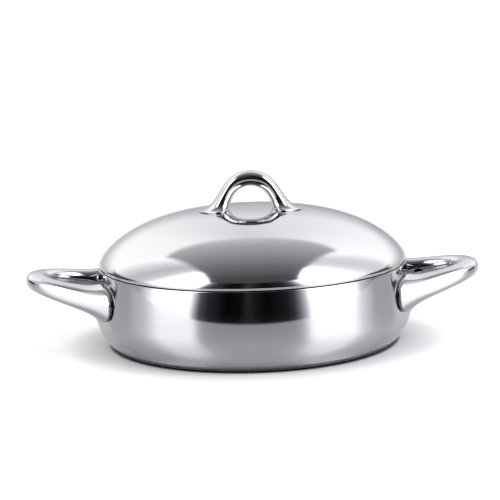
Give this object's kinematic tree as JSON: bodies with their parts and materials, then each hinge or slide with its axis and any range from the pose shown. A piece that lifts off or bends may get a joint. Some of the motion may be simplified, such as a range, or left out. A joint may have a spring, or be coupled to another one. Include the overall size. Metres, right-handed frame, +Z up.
{
  "type": "shallow pot",
  "caption": "Low round casserole with a domed lift-off lid, a cast loop handle on each side and a cast arch handle on the lid.",
  "frame": {"origin": "middle of the flat underside, at the height of the surface it stands on", "axes": "+X from the left side handle to the right one, +Z up along the pot's axis"},
  "size_m": [0.3634, 0.2534, 0.1376],
  "materials": {
    "shell_steel": "fine satin polish",
    "lid_steel": "bright polish",
    "cast_steel": "mirror polish",
    "cap_steel": "fine satin polish",
    "core_aluminium": "rolled",
    "weld_steel": "fused metal"
  },
  "bodies": {
    "pot": {"pot_body": "shell_steel", "base_core": "core_aluminium", "base_cap": "cap_steel", "left_handle": "cast_steel", "right_handle": "cast_steel", "left_handle_welds": "weld_steel", "right_handle_welds": "weld_steel"},
    "lid": {"lid_dome": "lid_steel", "lid_handle": "cast_steel", "lid_handle_welds": "weld_steel"}
  },
  "joints": [
    {"name": "lid_lift", "type": "slide", "parent": "pot", "child": "lid", "axis": [0, 0, 1], "range_m": [0, 0.12]}
  ]
}
